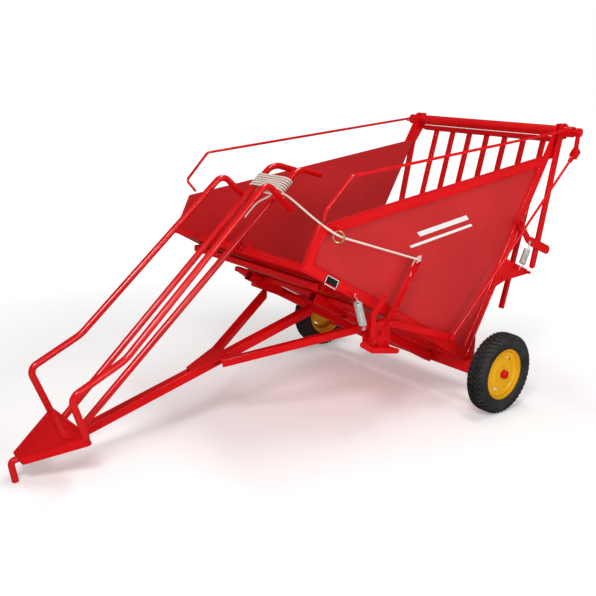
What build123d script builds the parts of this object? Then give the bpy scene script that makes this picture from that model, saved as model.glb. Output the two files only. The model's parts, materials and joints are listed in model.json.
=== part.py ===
from build123d import *
import math
import os

# A trailed bale collecting cart, in millimetres. X runs forward to the hitch, +Y is the machine's
# left side and Z is up. Inside this file every X is measured from the wheel axle's centre line;
# export() then moves the machine so that its origin is on the ground below the middle of its box.

# ---------------------------------------------------------------- driving dimensions
AXLE_X = -1308.0              # the wheel axle, behind the middle of the machine
SIDES = {"left": 1, "right": -1}

WHEEL_RADIUS = 330.0
TYRE_WIDTH = 156.0
HALF_TRACK = 1066.0
RIM_RADIUS = 206.0
AXLE_RADIUS = 22.0
BORE_CLEARANCE = 0.05         # a shaft turning in its bore, on radius

PANEL_OUT = 785.0             # outer face of the side panels' pressed borders
PANEL_IN = 765.0
BORDER = 80.0                 # width of a panel's border
PANEL_SHEET = 4.0
FRONT_TOP = (1750.0, 1632.0)  # the corners of a side panel, X and Z
FRONT_FOOT = (1885.0, 1346.0)
REAR_FOOT = (78.0, 377.0)
REAR_TOP = (-812.0, 2016.0)
FLOOR_SHEET = 5.0
LIP_HEIGHT = 52.0

GATE_AXIS = (-922.0, 2205.0)  # the tube that the gate hangs from
GATE_TUBE_RADIUS = 44.5
GATE_HALF = 905.0
TINE_LEAN = 14.0              # degrees forward of straight down
TINE_PITCH = 200.0
TINE_COUNT = 7
TINE_SIDE = 38.0
TINE_LENGTH = 1573.0
TINE_BACK = 55.0              # how far the tines hang behind the gate tube's middle
SIDE_BAR_END = (-685.0, 1088.0)
CRANK_Y = 952.0
CRANK_LENGTH = 165.0

TRIP_PIVOT = (1070.0, 865.0)
TRIP_Y = 811.0                # middle plane of the trip crank's flat arms
TRIP_EYE = (800.0, 1305.0)
ROD_FOOT = (345.0, 625.0)
ROD_RADIUS = 11.0
OPEN_PIVOT_GAP = 9.5          # on radius, at the pivot where the linkage's loop is open

LATCH_PIVOT = (-430.0, 1465.0)
LATCH_Y = 826.0
LOCK_PIVOT = (1235.0, 765.0)
LOCK_Y = 836.0

BEAM_BOTTOM = 250.0
BEAM_HEIGHT = 115.0
BEAM_HALF_DEPTH = 60.0
BEAM_HALF = 905.0
CROSS_X = 1085.0              # the chassis' front cross rail
CROSS_Z = 820.0
RAIL_Y = 390.0                # the two rails under the floor
PIN_ELBOW = (3586.1, 150.0)   # the hitch pin's bend
PIN_RADIUS = 22.0
PIN_TILT = 10.0               # degrees rearward of straight down

GUIDE_RADIUS = 24.0
GUARD_RADIUS = 11.0
ROPE_RADIUS = 8.0
HANK_TURNS = 6

SLOPE = math.degrees(math.atan2(FRONT_FOOT[1] - REAR_FOOT[1], FRONT_FOOT[0] - REAR_FOOT[0]))

parts = {}
os.makedirs("parts", exist_ok=True)


# ---------------------------------------------------------------- helpers
def side_plane(y):
    """The X-Z plane at one Y, seen so that sketch x is X and sketch y is Z; it faces -Y."""
    return Plane(origin=(0, y, 0), x_dir=(1, 0, 0), z_dir=(0, -1, 0))


def side_plate(sketch, y_low, y_high):
    """A flat side-view sketch made into a plate between two values of Y."""
    return extrude(side_plane(y_high) * sketch, y_high - y_low)


def outline(*points):
    return make_face(Polyline(*points, close=True))


def rounded(sketch, radius):
    return fillet(sketch.vertices(), radius)


def both_sides(shape):
    """A piece drawn on the left side and its mirror image, as two solids of one node."""
    return Compound([shape, mirror(shape, about=Plane.XZ)])


def mirrored(shape, side):
    """The shape is drawn on the left side; the right side is its mirror image."""
    return shape if side == "left" else mirror(shape, about=Plane.XZ)


def pin_y(x, z, radius, y_low, y_high):
    """A round pin or shaft lying along Y."""
    return Pos(x, (y_low + y_high) / 2, z) * Rot(90, 0, 0) * Cylinder(radius, y_high - y_low)


def sweep_round(points, radii, radius, wall=0.0):
    """A round bar, or a tube with a wall, bent along a route with one radius for each corner."""
    path = FilletPolyline(*points, radius=radii) if radii else Line(*points)
    ring = Circle(radius)
    if wall:
        ring -= Circle(radius - wall)
    return sweep(Plane(origin=path @ 0, z_dir=path % 0) * ring, path=path)


def box_bar(start, end, width, height, wall, corner=6.0):
    """A rectangular tube between two points; its width is level and its height is upright."""
    run = Vector(*end) - Vector(*start)
    across = Vector(0, 0, 1).cross(run).normalized()
    section = RectangleRounded(width, height, corner)
    section -= RectangleRounded(width - 2 * wall, height - 2 * wall, max(corner - wall, 1.0))
    return extrude(Plane(origin=start, x_dir=across, z_dir=run.normalized()) * section, run.length)


def flat_link(points, width, y_low, y_high):
    """A flat bar with round ends along a side-view line."""
    link = Sketch()
    for (x0, z0), (x1, z1) in zip(points, points[1:]):
        length = math.hypot(x1 - x0, z1 - z0)
        angle = math.degrees(math.atan2(z1 - z0, x1 - x0))
        middle = Pos((x0 + x1) / 2, (z0 + z1) / 2)
        link += middle * Rot(0, 0, angle) * SlotCenterToCenter(length, width)
    return side_plate(link, y_low, y_high)


def hex_bolt(size):
    """The head of a hexagon bolt on Z = 0, with the end of its thread standing out of a nut."""
    head = extrude(RegularPolygon(size * 0.95, 6), size * 0.65)
    return head + Pos(0, 0, size * 0.65) * Cylinder(size / 2, size * 0.5)


def on_slope(along, up):
    """A side-view point given along the floor's line from its rear foot, and square to it."""
    s, c = math.sin(math.radians(SLOPE)), math.cos(math.radians(SLOPE))
    return REAR_FOOT[0] + along * c - up * s, REAR_FOOT[1] + along * s + up * c


def export(name, shape):
    parts[name] = shape
    export_step(Pos(AXLE_X, 0, 0) * shape, f"parts/{name}.step")


# ---------------------------------------------------------------- hitch and drawbar
PLATE_NOSE = (3545.0, 176.0)
PLATE_REAR = (3174.0, 325.5)
PLATE_HALF = 292.0            # half its width along the rear edge
PLATE_DEPTHS = (46.0, 70.0)   # of its walls, at the nose and at the rear edge
PLATE_SHEET = 8.0
DRAWBAR_HEAD = (3400.0, 0.0, 152.0)
DRAWBAR_JOINT = (2150.0, 0.0, 487.0)
DRAWBAR_FOOT = (1116.0, 0.0, 772.0)
LEG_FOOT_Y = 590.0
ROD_RUN = Vector(math.cos(math.radians(PIN_TILT)), 0, -math.sin(math.radians(PIN_TILT)))
PIN_RUN = Vector(-math.sin(math.radians(PIN_TILT)), 0, -math.cos(math.radians(PIN_TILT)))
ROD_START = Vector(PIN_ELBOW[0], 0, PIN_ELBOW[1]) - ROD_RUN * 174


def plate_plane():
    """The plane of the plate's top face, with its x from the nose to the rear edge."""
    run = Vector(PLATE_REAR[0] - PLATE_NOSE[0], 0, PLATE_REAR[1] - PLATE_NOSE[1])
    up = Vector(-run.Z, 0, run.X)
    if up.Z < 0:
        up = up * -1
    origin = (PLATE_NOSE[0], 0, PLATE_NOSE[1])
    return Plane(origin=origin, x_dir=run.normalized(), z_dir=up.normalized()), run.length


def plate_outline():
    length = plate_plane()[1]
    return outline((0, -58), (0, 58), (length, PLATE_HALF), (length, -PLATE_HALF))


def plate_block():
    """The space that the plate fills, with 0.5 mm all round for the welds of the guides."""
    return extrude(plate_plane()[0].offset(6) * offset(plate_outline(), 0.5), -PLATE_DEPTHS[1] - 7)


def below_plate():
    """The space below the plate's walls, which are deeper towards the rear."""
    top, length = plate_plane()
    slope = (PLATE_DEPTHS[1] - PLATE_DEPTHS[0]) / length
    line = [(-40, PLATE_DEPTHS[0] - 40 * slope), (length + 40, PLATE_DEPTHS[1] + 40 * slope), (length + 40, 200),
            (-40, 200)]
    corners = [top.origin + top.x_dir * along - top.z_dir * down for along, down in line]
    return side_plate(outline(*[(corner.X, corner.Z) for corner in corners]), -400, 400)


def hitch_plate():
    """A pressed triangular cover, open below, with a raised rim and a shallow curved recess."""
    top, length = plate_plane()
    shape = rounded(plate_outline(), 24)
    inner = offset(shape, -PLATE_SHEET)
    tray = offset(shape, -20)
    plate = extrude(top * shape, -PLATE_DEPTHS[1])
    plate -= extrude(top.offset(-PLATE_SHEET) * inner, -PLATE_DEPTHS[1])
    plate -= below_plate()
    rim = extrude(top * (shape - tray), 5)
    recess = Pos(length + 60, 0) * (Circle(170) - Circle(120)) & offset(shape, -34)
    plate += rim
    plate -= extrude(top.offset(-3) * recess, 6)
    rod_way = Plane(origin=ROD_START, z_dir=ROD_RUN) * Circle(PIN_RADIUS + 1)
    return plate - extrude(rod_way, 220)


def hitch_pin():
    """The drop pin: a round bar from the drawbar's head, bent square and down to the ground."""
    elbow = Vector(PIN_ELBOW[0], 0, PIN_ELBOW[1])
    length = (PIN_ELBOW[1] + PIN_RUN.X * PIN_RADIUS) / -PIN_RUN.Z
    points = (tuple(ROD_START), tuple(elbow), tuple(elbow + PIN_RUN * length))
    return chamfer(sweep_round(points, [26], PIN_RADIUS).edges().sort_by(Axis.Z)[0], 5)


def side_leg():
    run = Vector(DRAWBAR_FOOT[0] - DRAWBAR_JOINT[0], LEG_FOOT_Y, DRAWBAR_FOOT[2] - DRAWBAR_JOINT[2])
    start = Vector(*DRAWBAR_JOINT) + run * 0.13
    end = Vector(*DRAWBAR_JOINT) + run * 1.05
    leg = box_bar(tuple(start), tuple(end), 58, 58, 5)
    return leg - Pos(CROSS_X - 100, 0, CROSS_Z) * Box(259, 2 * HALF_TRACK, 400)


def drawbar_gusset():
    """The cover plate over the joint of the beam and its three legs."""
    slope = Vector(*DRAWBAR_FOOT) - Vector(*DRAWBAR_JOINT)
    plane = Plane(origin=Vector(*DRAWBAR_JOINT) + Vector(0, 0, 38), x_dir=slope.normalized(),
                  z_dir=slope.cross(Vector(0, 1, 0)).normalized())
    if plane.z_dir.Z < 0:
        plane = Plane(origin=plane.origin, x_dir=plane.x_dir, z_dir=plane.z_dir * -1)
    shape = rounded(outline((-110, -34), (-110, 34), (190, 118), (190, -118)), 16)
    return extrude(plane * shape, 9)


export("hitch_plate", hitch_plate())
export("hitch_pin", hitch_pin())
export("drawbar_beam", box_bar(DRAWBAR_HEAD, DRAWBAR_JOINT, 70, 66, 6))
joint_gap = (Vector(*DRAWBAR_FOOT) - Vector(*DRAWBAR_JOINT)).normalized() * 2
export("drawbar_leg_middle", box_bar(tuple(Vector(*DRAWBAR_JOINT) + joint_gap), DRAWBAR_FOOT, 70, 66, 6))
for side in SIDES:
    export(f"drawbar_leg_{side}", mirrored(side_leg(), side))
export("drawbar_gusset", drawbar_gusset())

# ---------------------------------------------------------------- chassis
CROSS_DEPTH, CROSS_HEIGHT = 58.0, 44.0
LONG_SIDE = 74.0
LONG_DROP = 80.0              # from the floor's underside to a long rail's centre line
NOSE_END = 1500.0             # how far along the slope the open ends of the long rails reach
MIDDLE_X, MIDDLE_Z, MIDDLE_SIDE = 1290.0, 980.0, 40.0
BUCKET_X, BUCKET_Z, BUCKET_SIDE = 1690.0, 1202.0, 50.0


def axle_beam():
    """A rolled hollow beam with soft corners and a plate at each end."""
    z = BEAM_BOTTOM + BEAM_HEIGHT / 2
    section = RectangleRounded(2 * BEAM_HALF_DEPTH, BEAM_HEIGHT, 18)
    section -= RectangleRounded(2 * BEAM_HALF_DEPTH - 14, BEAM_HEIGHT - 14, 11)
    beam = extrude(Plane(origin=(0, -BEAM_HALF + 8, z), x_dir=(1, 0, 0), z_dir=(0, 1, 0)) * section,
                   2 * BEAM_HALF - 16)
    cap = Box(2 * BEAM_HALF_DEPTH, 8, BEAM_HEIGHT)
    for sign in SIDES.values():
        beam += Pos(0, sign * (BEAM_HALF - 4), z) * cap
    return beam


def stub_axle():
    """The spindle that a wheel turns on, with its collar and its split-pin nut."""
    spindle = pin_y(0, WHEEL_RADIUS, AXLE_RADIUS, BEAM_HALF, HALF_TRACK + 52)
    collar = pin_y(0, WHEEL_RADIUS, 34, BEAM_HALF, HALF_TRACK - 62)
    return spindle + collar


def cross_block(x, z, depth, height):
    """The space that a cross rail fills, with 0.5 mm all round for its weld."""
    return Pos(x, 0, z) * Box(depth + 1, 2 * HALF_TRACK, height + 1)


def long_rail(start, end):
    """A square tube in line with the floor, between two distances along the slope."""
    (x0, z0), (x1, z1) = on_slope(start, -LONG_DROP), on_slope(end, -LONG_DROP)
    rail = box_bar((x0, RAIL_Y, z0), (x1, RAIL_Y, z1), LONG_SIDE, LONG_SIDE, 6)
    rail -= cross_block(0, BEAM_BOTTOM + BEAM_HEIGHT / 2, 2 * BEAM_HALF_DEPTH, BEAM_HEIGHT)
    rail -= cross_block(CROSS_X, CROSS_Z, CROSS_DEPTH, CROSS_HEIGHT)
    return rail - cross_block(MIDDLE_X, MIDDLE_Z, MIDDLE_SIDE, MIDDLE_SIDE)


def axle_gusset():
    """The plate that carries a side panel's rear foot on the axle beam."""
    shape = outline((-58, 366), (74, 366), (40, 432), (-58, 560))
    return side_plate(fillet(shape.vertices(), 8), PANEL_IN - 12, PANEL_IN - 1)


def front_web(y_low, y_high, slots):
    """A sloping sheet from the front cross rail to the middle one, with its slots cut out."""
    x0, z0 = CROSS_X + CROSS_DEPTH / 2 + 2, CROSS_Z + 16
    x1, z1 = 1398.0, 1030.0
    run = Vector(x1 - x0, 0, z1 - z0)
    plane = Plane(origin=(x0, 0, z0), x_dir=(0, 1, 0), z_dir=run.cross(Vector(0, 1, 0)).normalized())
    up = run.length if plane.y_dir.Z > 0 else -run.length
    sheet = outline((y_low, 0), (y_high, 0), (y_high, up), (y_low, up))
    for y, share, width in slots:
        sheet -= Pos(y, up * share) * SlotOverall(width, 46)
    web = extrude(plane * sheet, 6) - cross_block(CROSS_X, CROSS_Z, CROSS_DEPTH, CROSS_HEIGHT)
    return web - Pos(MIDDLE_X + 80, 0, MIDDLE_Z) * Box(201, 2 * HALF_TRACK, 300)


def front_webs():
    """The two sloping sheets behind the front of the chassis."""
    near = front_web(440, 760, [(600, 0.5, 150)])
    far = front_web(-760, -440, [(-680, 0.4, 70), (-540, 0.4, 60)])
    return Compound([near, far])


def coupling_plate():
    """The upright bracket below the lip, with a row of bolt holes."""
    shape = outline((1120, 800), (1395, 935), (1440, 1020), (1400, 1022), (1122, 880))
    shape = rounded(shape, 10)
    for x, z in ((1185, 868), (1290, 925), (1375, 975)):
        shape -= Pos(x, z) * Circle(9)
    plate = side_plate(shape, -352, -342)
    return plate - cross_block(MIDDLE_X, MIDDLE_Z, MIDDLE_SIDE, MIDDLE_SIDE)


def trip_guard():
    """The bent strap that guards the trip crank's front end."""
    strap = flat_link(((1345, 752), (1240, 690), (985, 640)), 40, 842, 856)
    for x, z in ((1022, 657), (1276, 718)):
        strap += Pos(x, 821, z) * Box(46, 46, 16)
    return strap


def end_plate():
    """The end plate of the front cross rail, which the trip crank turns on, with its guard."""
    shape = rounded(outline((1010, 640), (1130, 660), (1290, 730), (1290, 810), (1130, 900), (1020, 880)), 16)
    shape -= Pos(*TRIP_PIVOT) * Circle(12 + BORE_CLEARANCE)
    shape -= Pos(*LOCK_PIVOT) * Circle(9)
    shape -= Pos(1123, 787) * Rectangle(44, 44)
    return side_plate(shape, 787, 798) + trip_guard()


export("axle_beam", axle_beam())
export("stub_axles", both_sides(stub_axle()))
export("axle_gussets", both_sides(axle_gusset()))
for side in SIDES:
    export(f"chassis_rail_{side}", mirrored(long_rail(-40, 1130), side))
export("chassis_noses", both_sides(long_rail(1170, NOSE_END)))
export("front_cross_rail", box_bar((CROSS_X, -786, CROSS_Z), (CROSS_X, 786, CROSS_Z), CROSS_DEPTH,
                                   CROSS_HEIGHT, 5))
middle_rail = box_bar((MIDDLE_X, -762, MIDDLE_Z), (MIDDLE_X, 762, MIDDLE_Z), MIDDLE_SIDE, MIDDLE_SIDE, 4)
bucket_rail = box_bar((BUCKET_X, -762, BUCKET_Z), (BUCKET_X, 762, BUCKET_Z), BUCKET_SIDE, BUCKET_SIDE, 4)
export("bucket_cross_rails", Compound([middle_rail, bucket_rail]))
export("front_webs", front_webs())
export("coupling_plate", coupling_plate())
export("front_end_plate", end_plate())

# ---------------------------------------------------------------- bucket
PANEL_CORNERS = (FRONT_TOP, FRONT_FOOT, REAR_FOOT, REAR_TOP)


def side_panel():
    """A pressed side: a sheet set back inside a thick border, with the gate's bearing ear."""
    edge = outline(*PANEL_CORNERS)
    soft = fillet(edge.vertices(), 12)
    inside = fillet(offset(edge, -BORDER, kind=Kind.INTERSECTION).vertices(), 22)
    panel = side_plate(soft, PANEL_IN, PANEL_OUT)
    panel -= side_plate(inside, PANEL_IN + PANEL_SHEET, PANEL_OUT + 1)
    return panel + bearing_ear()


def bearing_ear():
    """The ear above a panel's rear corner, bored for the gate tube."""
    ear = outline((-790, 1975), (-690, 1960), (-815, 2180), (-860, 2268), (-985, 2268), (-985, 2170),
                  (-850, 1985))
    ear = rounded(ear, 14) - Pos(*GATE_AXIS) * Circle(GATE_TUBE_RADIUS + BORE_CLEARANCE)
    tab = Pos(-830, PANEL_OUT + 45, 2191) * Box(36, 90, 10)
    return side_plate(ear, PANEL_OUT - 10, PANEL_OUT + 4) + tab


def floor_sheet():
    (x0, z0), (x1, z1) = on_slope(8, 0), on_slope(2042, 0)
    run = Vector(x1 - x0, 0, z1 - z0)
    plane = Plane(origin=(x0, 0, z0), x_dir=(0, 1, 0), z_dir=run.normalized())
    up = FLOOR_SHEET if plane.y_dir.Z > 0 else -FLOOR_SHEET
    half = PANEL_IN - 1
    sheet = outline((-half, 0), (half, 0), (half, up), (-half, up))
    for k in range(-3, 4):
        y = k * 200
        sheet += outline((y - 22, up), (y + 22, up), (y + 12, up + 5), (y - 12, up + 5))
    return extrude(plane * sheet, run.length)


def floor_tail():
    """The short plate behind the floor that rises from the axle beam towards the gate's feet."""
    lower, upper = (-48.0, 368.0), (-300.0, 505.0)
    run = Vector(upper[0] - lower[0], 0, upper[1] - lower[1])
    plane = Plane(origin=(lower[0], 0, lower[1]), x_dir=(0, 1, 0), z_dir=run.normalized())
    up = FLOOR_SHEET if plane.y_dir.Z > 0 else -FLOOR_SHEET
    plate = extrude(plane * outline((-590, 0), (590, 0), (590, up), (-590, up)), run.length)
    foot = Pos(-6, 0, 368) * Box(100, 1180, 5)
    for y in (-560, -190, 190, 560):
        rib = outline((-60.5, 300), (-60.5, 376), (-250, 479))
        plate += side_plate(rib, y - 4, y + 4)
    return plate + foot


def front_lip():
    """The folded front edge of the floor: a face with a short tongue above, and its clamp."""
    length = on_slope(2044, 0)
    x, z = length
    half = PANEL_IN - 1
    shape = outline((x, z), (x + 14, z), (x + 6, z + LIP_HEIGHT), (x - 14, z + LIP_HEIGHT - 4),
                    (x - 12, z + LIP_HEIGHT - 10), (x - 2, z + LIP_HEIGHT - 8))
    lip = side_plate(shape, -half, half)
    for y in (-80, 10):
        lip += Pos(x + 18, y, z + 24) * Rot(0, 90, 0) * Cylinder(15, 24)
        lip += Pos(x + 14, y, z + 52) * Box(20, 12, 44)
    return lip


for side in SIDES:
    export(f"side_panel_{side}", mirrored(side_panel(), side))
export("floor_sheet", floor_sheet())
export("floor_tail", floor_tail())
export("front_lip", front_lip())

# ---------------------------------------------------------------- bale guides and guard rails
OUTER_GUIDE = ((3193, 273, 313), (3308, 318, 622), (2930, 319, 800), (1788, 268, 1856), (1560, 262, 1652))
OUTER_RADII = [62, 260, 78]
INNER_GUIDE = ((3196, 119, 282), (1410, 153, 1930), (1190, 150, 1872))
INNER_RADII = [150]
GUARD_ROUTE = ((1694, 775, 1660), (1738, 838, 1742), (1532, 850, 1955), (-836, 862, 2211))
GUARD_RADII = [34, 60]

outer_guide = sweep_round(OUTER_GUIDE, OUTER_RADII, GUIDE_RADIUS, 3.5) - plate_block()
inner_guide = sweep_round(INNER_GUIDE, INNER_RADII, GUIDE_RADIUS, 3.5) - plate_block()
for side in SIDES:
    export(f"guide_outer_{side}", mirrored(outer_guide, side))
    export(f"guide_inner_{side}", mirrored(inner_guide, side))
    export(f"guard_rail_{side}", mirrored(sweep_round(GUARD_ROUTE, GUARD_RADII, GUARD_RADIUS), side))

# ---------------------------------------------------------------- gate
lean = math.radians(TINE_LEAN)
DOWN = (math.sin(lean), -math.cos(lean))
BACK = (-math.cos(lean), -math.sin(lean))


def below_axis(down, back=0.0):
    """A side-view point measured down the gate's plane from its axis, and square to it, rearward."""
    return (GATE_AXIS[0] + down * DOWN[0] + back * BACK[0], GATE_AXIS[1] + down * DOWN[1] + back * BACK[1])


def gate_bar(y, down_start, down_end, width, height, wall, back=0.0):
    x0, z0 = below_axis(down_start, back)
    x1, z1 = below_axis(down_end, back)
    section = RectangleRounded(width, height, 3) - RectangleRounded(width - 2 * wall, height - 2 * wall, 1)
    plane = Plane(origin=(x0, y, z0), x_dir=(0, 1, 0), z_dir=(x1 - x0, 0, z1 - z0))
    return extrude(plane * section, down_end - down_start)


def gate_tube():
    x, z = GATE_AXIS
    tube = pin_y(x, z, GATE_TUBE_RADIUS, -GATE_HALF, GATE_HALF)
    tube -= pin_y(x, z, GATE_TUBE_RADIUS - 6, -GATE_HALF + 12, GATE_HALF - 12)
    return tube + pin_y(x, z, 20, GATE_HALF - 1, CRANK_Y + 24)


def gate_cross_bar(down, width, height, half, back=0.0):
    x, z = below_axis(down, back)
    section = RectangleRounded(width, height, 4) - RectangleRounded(width - 8, height - 8, 1)
    plane = Plane(origin=(x, -half, z), x_dir=(DOWN[0], 0, DOWN[1]), z_dir=(0, 1, 0))
    return extrude(plane * section, 2 * half)


def side_bar():
    """A side bar of the gate: an ear clamped round the gate tube and a flat bar below it."""
    start = (GATE_AXIS[0] + 40, GATE_AXIS[1] - 34)
    bar = flat_link((start, SIDE_BAR_END), 66, PANEL_OUT + 16, PANEL_OUT + 34)
    bar += side_plate(Pos(*GATE_AXIS) * Circle(66), PANEL_OUT + 16, PANEL_OUT + 34)
    return bar - pin_y(*GATE_AXIS, GATE_TUBE_RADIUS, 700, 900)


def crank_arm():
    """The arm that turns the gate tube; its eye is wide where the linkage's loop is open."""
    end = (GATE_AXIS[0] + 12, GATE_AXIS[1] - CRANK_LENGTH)
    arm = flat_link((GATE_AXIS, end), 44, CRANK_Y - 9, CRANK_Y + 9)
    arm += pin_y(*GATE_AXIS, 36, CRANK_Y - 20, CRANK_Y + 20)
    arm += side_plate(Pos(*end) * Circle(8 + OPEN_PIVOT_GAP + 11), CRANK_Y - 9, CRANK_Y + 9)
    arm -= pin_y(*GATE_AXIS, 20, 900, 1000)
    return arm - pin_y(*end, 8 + OPEN_PIVOT_GAP, 900, 1000)


export("gate_tube", gate_tube())
export("gate_top_rail", gate_cross_bar(66, 40, 58, 742, 41))
tines = []
for number in range(TINE_COUNT):
    y = (number - TINE_COUNT // 2) * TINE_PITCH
    tines.append(gate_bar(y, 86.5, TINE_LENGTH, TINE_SIDE, TINE_SIDE, 3, TINE_BACK))
export("gate_tines", Compound(tines))
for side in SIDES:
    export(f"gate_side_bar_{side}", mirrored(side_bar(), side))
export("gate_crank", crank_arm())

# ---------------------------------------------------------------- trip linkage
ROD_TOP = (GATE_AXIS[0] + 12, GATE_AXIS[1] - CRANK_LENGTH)
ROD_FOOT_Y = 838.0


def trip_crank():
    """The long arm, the short spring arm and the hub of the trip crank, in one flat piece."""
    low, high = TRIP_Y - 9, TRIP_Y + 9
    crank = flat_link((TRIP_PIVOT, ROD_FOOT), 54, low, high)
    crank += flat_link((TRIP_PIVOT, (1332, 868)), 40, low, high)
    crank += pin_y(*TRIP_PIVOT, 34, low, high + 8)
    crank -= pin_y(*TRIP_PIVOT, 12 + BORE_CLEARANCE, 700, 900)
    return crank - pin_y(*ROD_FOOT, 9, 700, 900)


def trip_lever():
    """The upright lever on the trip crank: a channel open outward, with the rope's eye at its top."""
    low, high = TRIP_Y + 9, TRIP_Y + 33
    foot = (TRIP_PIVOT[0] - 10, TRIP_PIVOT[1] + 30)
    top = (TRIP_EYE[0] + 15, TRIP_EYE[1] - 22)
    lever = flat_link((foot, top), 57, low, high) - flat_link((foot, top), 47, low + 5, high + 1)
    lever += side_plate(Pos(*TRIP_EYE) * Circle(24), low, low + 12)
    lever -= pin_y(*TRIP_EYE, 11, 700, 900)
    return lever - pin_y(*TRIP_PIVOT, 34.5, 700, 900)


def push_rod():
    """The rod from the trip crank to the gate crank, with an eye below and a fork above."""
    foot = Vector(ROD_FOOT[0], ROD_FOOT_Y, ROD_FOOT[1])
    top = Vector(ROD_TOP[0], CRANK_Y, ROD_TOP[1])
    run = (top - foot).normalized()
    start, end = foot + run * 20, top - run * 62
    rod = extrude(Plane(origin=start, z_dir=run) * Circle(ROD_RADIUS), (end - start).length)
    eye = side_plate(Pos(*ROD_FOOT) * (Circle(24) - Circle(9 + BORE_CLEARANCE)), ROD_FOOT_Y - 8, ROD_FOOT_Y + 8)
    rod -= pin_y(*ROD_FOOT, 24, 800, 900)
    return rod + eye


def rod_fork():
    """The fork at the rod's top end, its lock collar and the pin across it."""
    foot = Vector(ROD_FOOT[0], ROD_FOOT_Y, ROD_FOOT[1])
    top = Vector(ROD_TOP[0], CRANK_Y, ROD_TOP[1])
    run = (top - foot).normalized()
    angle = math.degrees(math.atan2(ROD_TOP[1] - ROD_FOOT[1], ROD_TOP[0] - ROD_FOOT[0]))
    body = Pos(-8, 0) * RectangleRounded(84, 62, 12)
    outer = side_plate(Pos(*ROD_TOP) * Rot(0, 0, angle) * body, CRANK_Y - 23, CRANK_Y + 23)
    slot = Pos(12, 0) * Rectangle(100, 70)
    outer -= side_plate(Pos(*ROD_TOP) * Rot(0, 0, angle) * slot, CRANK_Y - 11.5, CRANK_Y + 11.5)
    outer += pin_y(*ROD_TOP, 8, CRANK_Y - 29, CRANK_Y + 29)
    neck = extrude(Plane(origin=top - run * 92, z_dir=run) * Circle(19), 46)
    neck -= extrude(Plane(origin=top - run * 130, z_dir=run) * Circle(ROD_RADIUS), 69)
    return outer + neck


export("trip_crank", trip_crank())
export("trip_lever", trip_lever())
export("push_rod", push_rod())
export("rod_fork", rod_fork())
pivot_bolt = pin_y(*TRIP_PIVOT, 12, 786.5, TRIP_Y + 22) + pin_y(*TRIP_PIVOT, 22, TRIP_Y + 20, TRIP_Y + 34)
foot_pin = pin_y(*ROD_FOOT, 9, TRIP_Y - 10, ROD_FOOT_Y + 10) + pin_y(*ROD_FOOT, 15, ROD_FOOT_Y + 9, ROD_FOOT_Y + 19)
export("rod_foot_pin", foot_pin)

# ---------------------------------------------------------------- latches and springs
LATCH_KNEE = (-560.0, 1318.0)
LATCH_END = (-845.0, 1205.0)
LATCH_SPRING_TOP = (-531.0, 1254.0)
LATCH_SPRING_FOOT = (-470.0, 1122.0)
LATCH_SPRING_Y = 850.0
TRIP_SPRING_TOP = (1408.0, 1076.0)
TRIP_SPRING_FOOT = (1340.0, 892.0)
TRIP_SPRING_Y = 838.0
SPRING_RADIUS = 30.0


def latch_bracket():
    """The triangular bracket on the left panel's rear border, with the gate's stop pin."""
    shape = rounded(outline((-258, 1150), (-330, 1180), (-640, 1050), (-655, 1008), (-345, 990), (-160, 935)), 12)
    bracket = side_plate(shape, PANEL_OUT, PANEL_OUT + 7)
    return bracket + pin_y(-640, 1026, 13, PANEL_OUT, PANEL_OUT + 40)


def spring_post(x, z, foot_y, y):
    """A post with a head, for the end of a spring."""
    return pin_y(x, z, 9, foot_y, y + 6) + pin_y(x, z, 14, y + 6, y + 12)


def latch_lever():
    low, high = LATCH_Y - 6, LATCH_Y + 6
    lever = flat_link((LATCH_PIVOT, LATCH_KNEE), 58, low, high)
    lever += flat_link(((-600, 1302), LATCH_END), 76, low, high)
    lever += pin_y(*LATCH_PIVOT, 34, low, high)
    return lever - pin_y(*LATCH_PIVOT, 10 + BORE_CLEARANCE, 700, 900)


def lock_lever():
    low, high = LOCK_Y - 6, LOCK_Y + 6
    lever = flat_link((LOCK_PIVOT, (1238, 960), (1138, 1068)), 46, low, high)
    lever += pin_y(*LOCK_PIVOT, 26, low, high)
    lever -= pin_y(1138, 1068, 8, 700, 900)
    return lever - pin_y(*LOCK_PIVOT, 10 + BORE_CLEARANCE, 700, 900)


def spring(top, foot, y):
    """A tension spring drawn as the plain sleeve that its close coils fill."""
    run = Vector(foot[0] - top[0], 0, foot[1] - top[1])
    plane = Plane(origin=(top[0], y, top[1]), z_dir=run.normalized())
    return extrude(plane * (Circle(SPRING_RADIUS) - Circle(SPRING_RADIUS - 9)), run.length)


export("latch_bracket", latch_bracket())
export("latch_lever", latch_lever())
latch_pin = pin_y(*LATCH_PIVOT, 10, PANEL_OUT, LATCH_Y + 14) + pin_y(*LATCH_PIVOT, 17, LATCH_Y + 8, LATCH_Y + 20)
latch_pin += pin_y(*LATCH_PIVOT, 22, PANEL_OUT, LATCH_Y - 8)
export("latch_pivot_pin", latch_pin)
export("lock_lever", lock_lever())
lock_pin = pin_y(*LOCK_PIVOT, 9, 786.5, 800) + pin_y(*LOCK_PIVOT, 24, 799, LOCK_Y - 8)
lock_pin += pin_y(*LOCK_PIVOT, 10, LOCK_Y - 9, LOCK_Y + 12) + pin_y(*LOCK_PIVOT, 18, LOCK_Y + 8, LOCK_Y + 18)
export("front_pivot_pins", Compound([pivot_bolt, lock_pin]))
export("latch_spring", spring(LATCH_SPRING_TOP, LATCH_SPRING_FOOT, LATCH_SPRING_Y))
export("trip_spring", spring(TRIP_SPRING_TOP, TRIP_SPRING_FOOT, TRIP_SPRING_Y))
posts = [spring_post(1425, 1124, PANEL_OUT, TRIP_SPRING_Y),
         spring_post(-455, 1088, PANEL_OUT + 7, LATCH_SPRING_Y)]
export("spring_posts", Compound(posts))

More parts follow.
